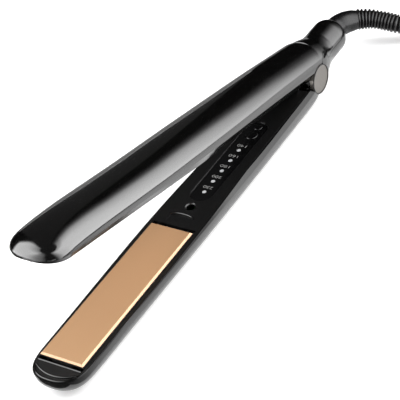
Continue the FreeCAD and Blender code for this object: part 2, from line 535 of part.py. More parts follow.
for nm, fn in (("upper_plate", plate_solid), ("upper_heater", heater_solid), ("upper_insulator", insulator_solid),
               ("upper_heater_clamp", clamp_solid), ("upper_plate_carrier", carrier_solid)):
    put(nm, open_up(mirror_up(fn())))
for nm, fn in (("upper_carrier_screws", carrier_screws), ("upper_cushions", cushions), ("upper_thermal_fuse", fuse_part)):
    put(nm, [open_up(mirror_up(s)) for s in fn()])
ul = []
for s in (1, -1):
    ul.append(open_up(tube([(22.0, s*4.2, 10.5), (60.0, s*4.6, 10.0), (112.0, s*5.2, 9.2), (129.6, s*4.6, 6.6),
                            (158.0, s*4.6, 6.6)], 0.7)[0]))
put("upper_heater_leads", ul)

# ---------------------------------------------------------------- hinge
put("hinge_pin", cyl((0, -EAR_Y1, 0), (0, 1, 0), PIN_R, 2*EAR_Y1))
bush = []
for s in (1, -1):
    y0, y1 = (5.6, BOSS_Y) if s > 0 else (-BOSS_Y, -5.6)
    bush.append(cyl((0, y0, 0), (0, 1, 0), BUSH_R, y1-y0).cut(cyl((0, y0-1, 0), (0, 1, 0), PIN_R+FIT, 8)))
put("hinge_bushes", bush)
for nm, s in (("hinge_cap_right", 1), ("hinge_cap_left", -1)):
    y0 = EAR_Y1 if s > 0 else -CAP_Y
    c = cyl((0, y0, 0), (0, 1, 0), CAP_R, CAP_Y-EAR_Y1)
    c = c.makeFillet(0.3, [e for e in c.Edges if abs(abs(e.CenterOfMass.y)-CAP_Y) < 1e-3])
    put(nm, c)
# torsion spring: close coils round the pin, one leg up into the arm, one down against the floor of the shell
h = Part.makeHelix(1.5, 7.5, 3.9)
prof = Part.Wire([Part.Circle(V(3.9, 0, 0), V(0, 1, 0), 0.6).toShape()])
coil = Part.Wire(h.Edges).makePipeShell([prof], True, True)
coil.rotate(V(0, 0, 0), V(1, 0, 0), -90)
coil.translate(V(0, -3.75, 0))
leg_up = cyl((3.9, -3.75, 0), (0, 0, 1), 0.6, 11.5)
leg_down = cyl((3.9, 3.75, 0), (0, 0, -1), 0.6, 3.0)
if coil.distToShape(Part.Vertex(3.9, -3.75, 0))[0] > 0.7:
    leg_up.translate(V(0, 7.5, 0)); leg_down.translate(V(0, -7.5, 0))
put("hinge_spring", coil.fuse([leg_up, leg_down]))

# leads that pass in front of the hinge boss from the board to the upper heater
hl = []
for s in (1, -1):
    hl.append(tube([(36.0, s*4.2, -8.8), (20.0, s*4.2, -8.6), (8.9, s*4.2, -3.0), (8.8, s*4.2, 4.6),
                    (18.2, s*4.2, 15.0)], 0.7)[0])
put("hinge_leads", hl)

# ---------------------------------------------------------------- cord swivel in the tail
sw = cyl((TAIL_X, 0, TAIL_CZ), (1, 0, 0), 4.0, 3.0).fuse(cyl((TAIL_X+2.3, 0, TAIL_CZ), (1, 0, 0), 6.0, 1.6))
sw = sw.fuse(cyl((TAIL_X+3.9, 0, TAIL_CZ), (1, 0, 0), 3.4, 10.0))
put("swivel_core", sw.removeSplitter())
rings = []
for x in (TAIL_X+6.0, TAIL_X+10.0):
    rings.append(cyl((x, 0, TAIL_CZ), (1, 0, 0), 4.2, 1.8).cut(cyl((x-1, 0, TAIL_CZ), (1, 0, 0), 3.4, 4)))
put("slip_rings", rings)
contacts = []
for i, x in enumerate((TAIL_X+6.0, TAIL_X+10.0)):
    contacts.append(box(x+0.3, x+1.5, -3.0, 3.0, TAIL_CZ-4.75, TAIL_CZ-4.25).fuse(
        box(x+0.3, x+1.5, 2.4, 3.0, TAIL_CZ-7.0, TAIL_CZ-4.3)))
put("contact_springs", contacts)
ml = []
for s in (1, -1):
    ml.append(tube([(-30.6, s*4.2, -4.2), (-22.0, s*4.5, -4.5), (-12.0, s*6.4, -6.4), (0.0, s*7.2, -9.2),
                    (18.0, s*6.0, -12.0), (34.0, s*3.4, -12.2), (46.0, s*3.4, -11.9)], 0.85)[0])
put("mains_leads", ml)

# ---------------------------------------------------------------- strain relief, cord and plug
# centre line of the elbow and its ribbed sleeve, from the end of the tail
SLEEVE = [(-43.6, 0.0, 1.27), (-46.0, 0.12, 1.22), (-49.2, 0.7, 1.06), (-52.3, 1.95, 0.94), (-54.7, 3.75, 0.8),
          (-56.7, 5.7, 0.62), (-59.4, 9.1, 0.24), (-62.2, 13.9, -0.4), (-64.0, 19.2, -1.4), (-65.1, 24.8, -2.4),
          (-66.1, 30.5, -3.5), (-69.0, 36.4, -5.0), (-73.6, 41.4, -6.6)]
RIB_START, RIB_PITCH, RIB_T = 17.5, 3.5, 1.9

def polyline_spline(pts):
    bs = Part.BSplineCurve(); bs.interpolate(Points=[V(*p) for p in pts])
    return bs
sl = polyline_spline(SLEEVE)
SL_LEN = sl.length()
def sleeve_at(dist):
    u = sl.parameterAtDistance(max(0.0, min(SL_LEN, dist)))
    return sl.value(u), sl.tangent(u)[0]
def sleeve_core(dist):
    return law([(0, 6.25), (3, 6.65), (9, 6.5), (14, 6.2), (17, 5.6), (22, 5.2), (34, 4.95), (SL_LEN, 4.3)])(dist)
def sleeve_rib(dist):
    return law([(14, 6.3), (20, 6.15), (24, 5.95), (30, 5.65), (40, 5.6), (SL_LEN, 4.75)])(dist)
core = loft_circles([(tuple(sleeve_at(t)[0]), tuple(sleeve_at(t)[1]), sleeve_core(t))
                     for t in [0, 1.5, 3, 5, 7.5, 10, 12, 14, 17, 20, 24, 28, 33, 38, 43, 48, 53, SL_LEN]])
ribs = []
t = RIB_START
while t < SL_LEN-2.5:
    p, d2 = sleeve_at(t)
    ribs.append(cyl((p.x-d2.x*RIB_T/2, p.y-d2.y*RIB_T/2, p.z-d2.z*RIB_T/2), (d2.x, d2.y, d2.z), sleeve_rib(t), RIB_T))
    t += RIB_PITCH
relief = core.fuse(ribs).fuse(cyl((TAIL_X-0.3, 0, TAIL_CZ), (1, 0, 0), 4.0, 0.3))
put("strain_relief", relief)
print("strain relief length %.1f, %d ribs" % (SL_LEN, len(ribs)))

# the cord: sleeve end, down to the surface, round into the hank
CORD = [(-73.6, 41.4, -6.6), (-80.8, 49.0, -8.7), (-89.8, 54.8, -10.6), (-100.1, 58.2, -12.1), (-113.0, 59.9, -13.0),
        (-126.0, 60.2, -13.2), (-135.3, 60.25, -13.2)]
HANK_A, HANK_R0, HANK_RC, HANK_TURN = 38.5, 21.0, 60.0, 14.0
HANK_X, HANK_Y = -187.0, 25.25
HANK_LAYERS = 3
tb, radii, ln = tube(CORD, CORD_D/2)
print("cord radii", ["%.1f" % r for r in radii], "length %.1f volume %.1f of %.1f" % (
    ln, tb.Volume, math.pi*CORD_D**2/4*ln))
put("power_cord", tb)
CORD_END = [(-143.0, 53.25, 0.8), (-155.0, 52.05, 2.0), (-167.0, 48.05, 5.6), (-178.5, 43.15, 9.6), (-190.0, 40.05, 11.1),
            (-202.0, 39.25, 11.15)]
tb2, radii2, ln2 = tube(CORD_END, CORD_D/2)
print("cord end radii", ["%.1f" % r for r in radii2], "length %.1f volume %.1f of %.1f" % (
    ln2, tb2.Volume, math.pi*CORD_D**2/4*ln2))

# the hank: a flat bundle with a waist, wound as parallel turns
def hank_face(off, z):
    """Outline of the hank at a distance off outside its innermost turn."""
    r = HANK_R0+off; rc = HANK_RC-off
    yc = math.sqrt((HANK_R0+HANK_RC)**2-HANK_A**2)
    # the touching point of an end circle and the circle of the waist
    k = r/(HANK_R0+HANK_RC)
    tx, ty = HANK_A-HANK_A*k, yc*k
    def W(x, y): return V(HANK_X+x, HANK_Y+y, z)
    e = [Part.Arc(W(tx, ty), W(0, yc-rc), W(-tx, ty)).toShape(),
         Part.Arc(W(-tx, ty), W(-HANK_A-r, 0), W(-tx, -ty)).toShape(),
         Part.Arc(W(-tx, -ty), W(0, -(yc-rc)), W(tx, -ty)).toShape(),
         Part.Arc(W(tx, -ty), W(HANK_A+r, 0), W(tx, ty)).toShape()]
    return Part.Face(Part.Wire(e))
HZ = HANK_LAYERS*CORD_D
hank = hank_face(HANK_TURN+CORD_D/2, FLOOR_Z).extrude(V(0, 0, HZ))
hank = hank.cut(hank_face(-CORD_D/2, FLOOR_Z-1).extrude(V(0, 0, HZ+2)))
tie = box(HANK_X-6, HANK_X+6, HANK_Y-28.7, HANK_Y+28.7, FLOOR_Z, FLOOR_Z+HZ+1.0)
tie = tie.cut(box(HANK_X-7, HANK_X+7, HANK_Y-27.7, HANK_Y+27.7, FLOOR_Z+1.0, FLOOR_Z+HZ))
put("cord_hank", hank.cut(tie))
put("cord_tie", tie)
put("cord_end", tb2)

# two-pin plug lying on the hank
PX, PY, PZ = -212.0, 39.25, 11.15
def octo(x, hw, hh, c):
    pts = [(hw, hh-c), (hw-c, hh), (-hw+c, hh), (-hw, hh-c), (-hw, -hh+c), (-hw+c, -hh), (hw-c, -hh), (hw, -hh+c)]
    return Part.makePolygon([V(x, PY+a, PZ+b) for a, b in pts]+[V(x, PY+pts[0][0], PZ+pts[0][1])])
plug = Part.makeLoft([octo(PX, 8.6, 6.0, 3.0), octo(PX-6, 10.5, 6.4, 3.0), octo(PX-17, 14.6, 6.8, 3.2),
                      octo(PX-24, 17.2, 6.85, 3.4), octo(PX-34, 17.65, 6.85, 3.5)], True, True)
plug = plug.fuse(Part.makeCone(4.3, 5.6, 10.0, V(PX+10.0, PY, PZ), V(-1, 0, 0)))
put("plug_body", plug)
put("plug_pins", [cyl((PX-34, PY+s*9.3, PZ), (-1, 0, 0), 2.0, 18.0).fuse(
    Part.makeSphere(2.0, V(PX-34-18.0, PY+s*9.3, PZ)).common(box(PX-60, PX-52, 0, 90, 0, 40))) for s in (1, -1)])

# ---------------------------------------------------------------- write
for name, shape in out.items():
    s = shape.copy(); s.translate(SHIFT)
    s.exportStep("parts/%s.step" % name)
    b = s.BoundBox
    print("%-24s valid=%s solids=%d vol=%.1f x[%.1f %.1f] y[%.1f %.1f] z[%.1f %.1f]" % (
        name, s.isValid(), len(s.Solids), s.Volume, b.XMin, b.XMax, b.YMin, b.YMax, b.ZMin, b.ZMax))
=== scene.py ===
import bpy, bmesh, json, math, random
from mathutils import Vector, Matrix


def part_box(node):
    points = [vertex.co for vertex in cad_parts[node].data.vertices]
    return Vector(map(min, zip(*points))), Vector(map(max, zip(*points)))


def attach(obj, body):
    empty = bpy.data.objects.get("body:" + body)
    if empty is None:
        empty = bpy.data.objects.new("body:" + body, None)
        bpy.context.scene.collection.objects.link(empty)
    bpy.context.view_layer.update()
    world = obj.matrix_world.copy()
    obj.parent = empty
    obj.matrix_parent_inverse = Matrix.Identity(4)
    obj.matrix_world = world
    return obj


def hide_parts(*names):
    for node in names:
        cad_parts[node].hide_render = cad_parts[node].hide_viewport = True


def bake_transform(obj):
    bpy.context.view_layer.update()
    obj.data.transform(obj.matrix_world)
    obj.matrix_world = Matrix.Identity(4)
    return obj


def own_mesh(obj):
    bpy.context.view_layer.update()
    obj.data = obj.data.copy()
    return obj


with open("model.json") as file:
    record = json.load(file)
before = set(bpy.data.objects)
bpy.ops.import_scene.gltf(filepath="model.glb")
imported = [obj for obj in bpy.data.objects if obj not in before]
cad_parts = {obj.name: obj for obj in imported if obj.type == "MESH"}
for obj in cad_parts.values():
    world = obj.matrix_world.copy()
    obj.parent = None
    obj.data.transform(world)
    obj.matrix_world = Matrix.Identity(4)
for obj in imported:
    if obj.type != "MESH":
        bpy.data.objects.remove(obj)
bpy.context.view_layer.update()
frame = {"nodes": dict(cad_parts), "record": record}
nodes = frame["nodes"]
random.seed(7)
scene = bpy.context.scene
MM = 0.001
OX, OZ = -103.85, 16.7            # hinge axis to the object's own origin, mm
TILT = math.radians(14.4)          # opening of the upper arm at rest


def P(x, y, z):
    """A point given from the hinge axis in mm, in the object's frame in metres."""
    return Vector(((x + OX) * MM, y * MM, (z + OZ) * MM))


# ------------------------------------------------------------------ camera
cam_data = bpy.data.cameras.new("camera")
cam_data.sensor_width = 36.0
cam_data.sensor_fit = "HORIZONTAL"
cam_data.lens = 144.4343
cam_data.clip_start = 0.05
cam_data.clip_end = 50.0
cam = bpy.data.objects.new("camera", cam_data)
scene.collection.objects.link(cam)
right = Vector((-0.50724125, 0.84434883, -0.1725728))
up = Vector((-0.60997891, -0.21029231, 0.7640045))
back = Vector((0.60879557, 0.49280037, 0.62170391))
m = Matrix((right, up, back)).transposed().to_4x4()
m.translation = Vector((0.51466477, 0.41135949, 0.53173676))
cam.matrix_world = m
scene.camera = cam

# ------------------------------------------------------------------ mains cord
CORD_D = 7.0
CORD = [(-73.6, 41.4, -6.6), (-80.8, 49.0, -8.7), (-89.8, 54.8, -10.6), (-100.1, 58.2, -12.1), (-113.0, 59.9, -13.0),
        (-126.0, 60.2, -13.2)]
CORD_END = [(-155.0, 52.05, 2.0), (-167.0, 48.05, 5.6), (-178.5, 43.15, 9.6), (-190.0, 40.05, 11.1),
            (-202.0, 39.25, 11.15)]
HA, HR0, HRC = 38.5, 21.0, 60.0
HX, HY = -187.0, 25.25
LAYER = (-13.2, -6.2, 0.8)
YC = math.sqrt((HR0 + HRC) ** 2 - HA ** 2)
BETA = math.atan2(YC, -HA)         # where an end circle of the hank meets the waist's
N_END, N_WAIST = 8, 3


def ease(s, a, b):
    return max(0.0, min(1.0, (s - a) / (b - a)))


def lay(s):
    """Offset from the innermost turn and height of the turns, s counted in turns."""
    off = 14.0 - 7.0 * ease(s, 0.8, 1.0) - 7.0 * ease(s, 1.8, 2.0) + 7.0 * ease(s, 3.4, 3.6) + 7.0 * ease(s, 4.4, 4.6)
    off -= 7.0 * ease(s, 6.0, 6.2)
    z = LAYER[0] + 7.0 * ease(s, 2.6, 2.8) + 7.0 * ease(s, 5.2, 5.4)
    return off, z


def hank_route(turns):
    """Control points of the turns, from the top of the right end round anticlockwise."""
    q_end = 2 * BETA / N_END
    waist = 2 * (math.pi / 2 - math.atan2(YC, HA))
    q_w = waist / N_WAIST
    one = []                       # (kind, angle) for each control point of a turn, starting at the right end's top
    for k in range(N_END):
        a = -BETA + q_end * (k + 0.5)
        one.append(("R", a))
    for k in range(N_WAIST):       # upper waist, right to left
        one.append(("T", -math.pi / 2 + waist / 2 - q_w * (k + 0.5)))
    for k in range(N_END):
        a = math.pi - BETA + q_end * (k + 0.5)
        one.append(("L", a))
    for k in range(N_WAIST):       # lower waist, left to right
        one.append(("B", math.pi / 2 + waist / 2 - q_w * (k + 0.5)))
    first = 6                      # the first control point past the top of the right end
    n = len(one)
    pts = []
    for i in range(int(round(turns * n)) + 1):
        kind, a = one[(first + i) % n]
        off, z = lay(i / n)
        r, rc = (HR0 + off) / math.cos(q_end / 2), (HRC - off) / math.cos(q_w / 2)
        if kind == "R":
            x, y = HA + r * math.cos(a), r * math.sin(a)
        elif kind == "L":
            x, y = -HA + r * math.cos(a), r * math.sin(a)
        elif kind == "T":
            x, y = rc * math.cos(a), YC + rc * math.sin(a)
        else:
            x, y = rc * math.cos(a), -YC + rc * math.sin(a)
        pts.append((HX + x, HY + y, z))
    return pts


route = CORD + hank_route(7.0) + CORD_END


# ------------------------------------------------------------------ material helpers
def new_mat(name):
    mt = bpy.data.materials.new(name)
    mt.use_nodes = True
    nt = mt.node_tree
    b = nt.nodes["Principled BSDF"]
    return mt, nt, b


def coords(nt, scale=(1, 1, 1)):
    tc = nt.nodes.new("ShaderNodeTexCoord")
    mp = nt.nodes.new("ShaderNodeMapping")
    mp.inputs["Scale"].default_value = scale
    nt.links.new(tc.outputs["Object"], mp.inputs["Vector"])
    return mp.outputs["Vector"]


def noise(nt, vec, scale, detail=3.0, rough=0.5):
    n = nt.nodes.new("ShaderNodeTexNoise")
    n.inputs["Scale"].default_value = scale
    n.inputs["Detail"].default_value = detail
    n.inputs["Roughness"].default_value = rough
    nt.links.new(vec, n.inputs["Vector"])
    return n.outputs["Fac"]


def ramp(nt, fac, stops):
    r = nt.nodes.new("ShaderNodeValToRGB")
    el = r.color_ramp.elements
    while len(el) < len(stops):
        el.new(0.5)
    for e, (p, c) in zip(el, stops):
        e.position = p
        e.color = tuple(c) + (1.0,) if len(c) == 3 else c
    nt.links.new(fac, r.inputs["Fac"])
    return r.outputs["Color"]


def spread(nt, fac, lo, hi, a=0.3, b=0.7):
    mr = nt.nodes.new("ShaderNodeMapRange")
    mr.inputs["From Min"].default_value = a
    mr.inputs["From Max"].default_value = b
    mr.inputs["To Min"].default_value = lo
    mr.inputs["To Max"].default_value = hi
    nt.links.new(fac, mr.inputs["Value"])
    return mr.outputs["Result"]


def bump(nt, height, dist, strength=1.0, normal=None):
    bp = nt.nodes.new("ShaderNodeBump")
    bp.inputs["Strength"].default_value = strength
    bp.inputs["Distance"].default_value = dist
    nt.links.new(height, bp.inputs["Height"])
    if normal is not None:
        nt.links.new(normal, bp.inputs["Normal"])
    return bp.outputs["Normal"]


def surface(name, dark, light, rough, grain=900.0, depth=0.00001, metallic=0.0, ior=1.5, coat=0.0, coat_rough=0.05,
            stretch=(1, 1, 1), spec=0.5, cloud=25.0):
    """Colour drifts between two tones, roughness varies with it and a fine grain lifts the surface."""
    mt, nt, b = new_mat(name)
    v = coords(nt, stretch)
    big = noise(nt, v, cloud, 4.0, 0.6)
    fine = noise(nt, v, grain, 2.0, 0.5)
    nt.links.new(ramp(nt, big, [(0.3, dark), (0.7, light)]), b.inputs["Base Color"])
    nt.links.new(spread(nt, fine, rough[0], rough[1]), b.inputs["Roughness"])
    if depth > 0:
        nt.links.new(bump(nt, fine, depth), b.inputs["Normal"])
    b.inputs["Metallic"].default_value = metallic
    b.inputs["IOR"].default_value = ior
    b.inputs["Specular IOR Level"].default_value = spec
    if coat > 0:
        b.inputs["Coat Weight"].default_value = coat
        b.inputs["Coat Roughness"].default_value = coat_rough
    return mt


def glossy_shell(name):
    """Deep black lacquer with a trace of fine dark metal flake."""
    mt, nt, b = new_mat(name)
    v = coords(nt)
    big = noise(nt, v, 18.0, 3.0, 0.5)
    flake = noise(nt, v, 5200.0, 1.0, 0.5)
    smear = noise(nt, v, 60.0, 5.0, 0.65)
    nt.links.new(ramp(nt, flake, [(0.42, (0.0011, 0.0011, 0.0012)), (0.62, (0.0024, 0.0024, 0.0023)),
                                  (0.76, (0.020, 0.019, 0.018))]), b.inputs["Base Color"])
    nt.links.new(spread(nt, smear, 0.08, 0.14), b.inputs["Roughness"])
    nt.links.new(bump(nt, big, 0.00004, 0.4), b.inputs["Normal"])
    b.inputs["Metallic"].default_value = 0.0
    b.inputs["IOR"].default_value = 1.6
    return mt


M = {}
M["shell_gloss"] = glossy_shell("lacquer_black")
M["cover_matte"] = surface("cover_black", (0.0020, 0.0020, 0.0021), (0.0034, 0.0033, 0.0032), (0.30, 0.40), grain=1600.0,
                           depth=0.000006, spec=0.35)
M["hinge_cap"] = surface("cap_grey", (0.092, 0.084, 0.075), (0.116, 0.106, 0.095), (0.30, 0.42), grain=1500.0,
                         depth=0.00001, metallic=0.4, spec=0.5)
M["lens_black"] = surface("lens_black", (0.0016, 0.0016, 0.0018), (0.0026, 0.0026, 0.0027), (0.12, 0.18), grain=500.0,
                          depth=0.000004, spec=0.4)
M["key_black"] = surface("key_black", (0.0016, 0.0016, 0.0018), (0.0026, 0.0026, 0.0027), (0.16, 0.24), grain=1500.0,
                         depth=0.000004, spec=0.4)
M["board_green"] = surface("board_green", (0.010, 0.085, 0.030), (0.016, 0.115, 0.042), (0.35, 0.5), grain=1200.0)
M["components"] = surface("component_black", (0.02, 0.02, 0.02), (0.05, 0.05, 0.05), (0.35, 0.55), grain=900.0)
M["frame_plastic"] = surface("nylon_dark", (0.045, 0.045, 0.047), (0.060, 0.060, 0.062), (0.45, 0.6), grain=900.0,
                             depth=0.00002)
M["steel"] = surface("steel", (0.50, 0.50, 0.50), (0.62, 0.62, 0.61), (0.22, 0.36), grain=900.0, metallic=1.0,
                     stretch=(1, 8, 8))
M["ceramic_white"] = surface("alumina", (0.76, 0.75, 0.72), (0.84, 0.83, 0.80), (0.5, 0.65), grain=800.0)
M["mica"] = surface("mica", (0.50, 0.43, 0.30), (0.66, 0.58, 0.42), (0.25, 0.45), grain=300.0)
M["silicone"] = surface("silicone", (0.40, 0.08, 0.06), (0.48, 0.10, 0.08), (0.4, 0.55), grain=700.0)
M["lead_cover"] = surface("lead_cover", (0.62, 0.62, 0.62), (0.74, 0.74, 0.74), (0.4, 0.55), grain=700.0)
M["brass"] = surface("brass", (0.60, 0.44, 0.18), (0.72, 0.55, 0.25), (0.18, 0.32), grain=700.0, metallic=1.0)
M["tie_black"] = surface("tie_woven", (0.012, 0.012, 0.012), (0.035, 0.035, 0.035), (0.7, 0.9), grain=2400.0,
                         depth=0.0001)
M["pin_metal"] = surface("pin_nickel", (0.70, 0.69, 0.67), (0.80, 0.79, 0.77), (0.12, 0.22), grain=600.0, metallic=1.0)
M["cord_black"] = surface("cord_pvc", (0.0028, 0.0028, 0.0030), (0.0050, 0.0050, 0.0052), (0.26, 0.36), grain=1300.0,
                          depth=0.00001, spec=0.24)


def plate_mat():
    """Copper-coloured coating: fine lengthwise polish and a slow drift of tone."""
    mt, nt, b = new_mat("plate_copper")
    v = coords(nt, (0.12, 1, 1))
    fine = noise(nt, v, 2600.0, 2.0, 0.5)
    big = noise(nt, coords(nt), 12.0, 3.0, 0.5)
    nt.links.new(ramp(nt, big, [(0.3, (0.455, 0.268, 0.142)), (0.7, (0.475, 0.282, 0.150))]), b.inputs["Base Color"])
    nt.links.new(spread(nt, fine, 0.280, 0.290), b.inputs["Roughness"])
    b.inputs["Metallic"].default_value = 0.15
    b.inputs["Specular IOR Level"].default_value = 0.5
    return mt


M["plate_coat"] = plate_mat()
# near-black matte for the plates' sides and for the rings at the hinge cap's ends: painted shade in gaps
M["plate_edge"] = surface("plate_edge_black", (0.0025, 0.0025, 0.0025), (0.006, 0.006, 0.006), (0.45, 0.6), grain=1500.0,
                          depth=0.000006, spec=0.3)


def light_mat():
    mt, nt, b = new_mat("indicator_white")
    big = noise(nt, coords(nt), 700.0, 2.0, 0.5)
    nt.links.new(ramp(nt, big, [(0.3, (0.42, 0.43, 0.44)), (0.7, (0.48, 0.49, 0.50))]), b.inputs["Base Color"])
    nt.links.new(spread(nt, big, 0.2, 0.35), b.inputs["Roughness"])
    b.inputs["Emission Color"].default_value = (0.95, 0.97, 1.0, 1.0)
    b.inputs["Emission Strength"].default_value = 0.08
    return mt


M["indicator"] = light_mat()
# dimmer, rougher copy of the shell black for the lower shell's up-facing rim: painted shade
M["shell_rim_painted_shade"] = surface("shell_rim_painted_shade", (0.0012, 0.0012, 0.0013), (0.0022, 0.0022, 0.0022), (0.20, 0.28), grain=1500.0,
                         depth=0.000004, spec=0.22)
M["print_grey"] = surface("print_grey", (0.20, 0.20, 0.195), (0.27, 0.27, 0.265), (0.45, 0.6), grain=2500.0, depth=0.0)

# ------------------------------------------------------------------ the cord itself
cu = bpy.data.curves.new("mains_cord", "CURVE")
cu.dimensions = "3D"
sp = cu.splines.new("NURBS")
sp.points.add(len(route) - 1)
for i, q in enumerate(route):
    v = P(*q)
    sp.points[i].co = (v.x, v.y, v.z, 1.0)
sp.order_u = 3
sp.use_endpoint_u = True
sp.resolution_u = 6
cu.bevel_depth = CORD_D / 2 * MM
cu.bevel_resolution = 6
cu.use_fill_caps = True
cu.materials.append(M["cord_black"])
cord = bpy.data.objects.new("mains_cord", cu)
scene.collection.objects.link(cord)
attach(cord, "cord_swivel")
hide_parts("power_cord", "cord_hank", "cord_end")

slots = {s["node"]: s["material_slot"] for s in frame["record"]["subparts"]}
for n, o in nodes.items():
    o.data.materials.clear()
    o.data.materials.append(M[slots[n]])
    for p in o.data.polygons:
        p.use_smooth = True

M["rib_crest"] = surface("rib_crest", (0.0024, 0.0024, 0.0026), (0.0038, 0.0038, 0.0040), (0.22, 0.30), grain=1300.0,
                         depth=0.00001, spec=0.32)
M["sleeve_smooth"] = surface("sleeve_smooth", (0.0028, 0.0028, 0.0030), (0.0044, 0.0044, 0.0046), (0.22, 0.32), grain=1300.0,
                             depth=0.00001, spec=0.22)
# painted shade for the grooves between the sleeve's rings: near-black, matte, almost no specular
M["rib_groove_painted_shade"] = surface("rib_groove_painted_shade", (0.0006, 0.0006, 0.0006), (0.0010, 0.0010, 0.0010), (0.5, 0.6), grain=1300.0,
                          depth=0.0, spec=0.05)

# ------------------------------------------------------------------ smooth outer skins
# The vertices stay where the model has them; only the shading normals of the outer skins follow the section curves.
def law(pts):
    xs = [p[0] for p in pts]
    ys = [p[1] for p in pts]
    n = len(xs)
    h = [xs[i + 1] - xs[i] for i in range(n - 1)]
    d = [(ys[i + 1] - ys[i]) / h[i] for i in range(n - 1)]
    m = [0.0] * n
    for i in range(1, n - 1):
        if d[i - 1] * d[i] > 0:
            w1, w2 = 2 * h[i] + h[i - 1], h[i] + 2 * h[i - 1]
            m[i] = (w1 + w2) / (w1 / d[i - 1] + w2 / d[i])
    m[0], m[-1] = d[0], d[-1]

    def f(x):
        if x <= xs[0]:
            return ys[0]
        if x >= xs[-1]:
            return ys[-1]
        for i in range(n - 1):
            if x <= xs[i + 1]:
                break
        t = (x - xs[i]) / h[i]
        return ((2 * t ** 3 - 3 * t ** 2 + 1) * ys[i] + (t ** 3 - 2 * t ** 2 + t) * h[i] * m[i] +
                (-2 * t ** 3 + 3 * t ** 2) * ys[i + 1] + (t ** 3 - t ** 2) * h[i] * m[i + 1])
    return f


def taper(x, base, x1, xt, k):
    if x <= x1:
        return base
    u = min(0.99999, (x - x1) / (xt - x1))
    return base * (1 - u ** k) ** (1 / k)


UP_A = law([(-14, 12.6), (-8, 13.4), (-4, 13.8), (0, 14.0), (8, 14.08), (16, 14.25), (40, 14.7), (60, 15.1),
            (100, 15.75), (130, 16.0), (165, 16.1), (200, 16.1), (232, 15.9)])
UP_ZW = law([(-14, 6.0), (8, 6.0), (60, 5.8), (110, 4.9), (150, 4.5), (225, 4.3), (235, 3.95), (246, 3.6)])
UP_B = law([(-14, 11.2), (-9, 14.2), (-4, 15.8), (0, 15.95), (4, 15.95), (14, 15.9), (38, 15.85), (62, 15.36),
            (85, 14.8), (108, 14.4), (132, 13.8), (160, 13.05), (190, 12.83), (220, 12.76)])
LO_A = law([(-24, 10.4), (-21, 10.7), (-18, 11.3), (-14.3, 12.3), (-9, 13.4), (-4.6, 13.85), (0, 14.05),
            (8, 14.35), (16, 14.52), (40, 14.8), (60, 15.07), (80, 15.33), (100, 15.54), (130, 15.72), (165, 15.55),
            (200, 15.12), (220, 14.97), (232, 14.91)])
LO_ZW = law([(-24, 1.27), (-18, 1.27), (-9, 0.6), (0, -1.5), (8, -3.3), (16, -3.79), (40, -3.97), (60, -4.04),
             (80, -3.93), (100, -3.52), (130, -2.84), (165, -2.4), (200, -2.35), (220, -2.66), (232, -2.66)])
LO_ZB = law([(-24, -9.13), (-21, -9.5), (-18, -10.5), (-14.3, -12.3), (-9, -14.1), (-4.6, -15.3), (0, -16.1),
             (6, -16.7), (12, -16.95), (18, -17.0), (200, -17.0)])
LO_ZT = law([(-24, 11.67), (-21, 12.05), (-18, 12.75), (-14.3, 14.25), (-9, 16.0), (-4.6, 16.9), (-1, 17.3)])
LO_N = law([(-24, 2.0), (-9, 2.1), (0, 2.35), (8, 2.53), (16, 2.5), (40, 2.43), (80, 2.33), (130, 2.3), (200, 2.35),
            (232, 2.4)])


def up_dims(x, above):
    if not above:
        return None
    zw = UP_ZW(x)
    return taper(x, UP_A(x), 232.2, 248.2, 2.6), zw, taper(x, 1.6 + UP_B(x) - zw, 248.2 - 49.7, 248.2, 2.3), 2.2


def lo_dims(x, above):
    if x < -24:
        u = max(0.0, (-x - 35.5) / 9.6)
        r = 10.4 * max(1e-4, 1 - u ** 2.3) ** (1 / 2.3)
        return r, 1.27, r, 2.0
    zw = LO_ZW(x)
    a = taper(x, LO_A(x), 232.5, 251.0, 2.6)
    if above:
        return (a, zw, LO_ZT(x) - zw, LO_N(x)) if x < 3.0 else None
    return a, zw, taper(x, zw - LO_ZB(x), 251.0 - 29.5, 251.0, 2.45), LO_N(x)


def skin(dims, x, y, z, above):
    a, zw, b, n = dims(x, above)
    return ((abs(y) / max(a, 0.05)) ** n + (abs(z - zw) / max(b, 0.05)) ** n) ** (1.0 / n)


def smooth_skin(ob, dims, tilt):
    """Sets the corner normals of the outer skin from the section curves."""
    me = ob.data
    c, s = math.cos(tilt), math.sin(tilt)
    known = []
    for v in me.vertices:
        X, Y, Z = v.co.x * 1000 + 103.85, v.co.y * 1000, v.co.z * 1000 - 16.7
        x, y, z = X * c + Z * s, Y, -X * s + Z * c
        ref = dims(x, False) or dims(x, True)
        above = z >= ref[1]
        d = dims(x, above)
        if d is None or min(d[0], d[2]) < 0.3:
            known.append(None)
            continue
        f = skin(dims, x, y, z, above)
        if abs(f - 1.0) * min(d[0], d[2]) > 0.25:
            known.append(None)
            continue
        e = 0.02
        gx = (skin(dims, x + e, y, z, above) - skin(dims, x - e, y, z, above)) / (2 * e)
        gy = (skin(dims, x, y + e, z, above) - skin(dims, x, y - e, z, above)) / (2 * e)
        gz = (skin(dims, x, y, z + e, above) - skin(dims, x, y, z - e, above)) / (2 * e)
        n = Vector((gx, gy, gz))
        if n.length < 1e-9:
            known.append(None)
            continue
        n.normalize()
        known.append(Vector((n.x * c - n.z * s, n.y, n.x * s + n.z * c)))
    normals = [Vector(q.vector) for q in me.corner_normals]
    for p in me.polygons:
        for li in p.loop_indices:
            k = known[me.loops[li].vertex_index]
            if k is not None and p.normal.dot(k) > 0.93:
                normals[li] = k
    me.normals_split_custom_set(normals)


smooth_skin(nodes["upper_shell"], up_dims, TILT)
smooth_skin(nodes["lower_shell"], lo_dims, 0.0)
smooth_skin(nodes["tail_top_cover"], lo_dims, 0.0)

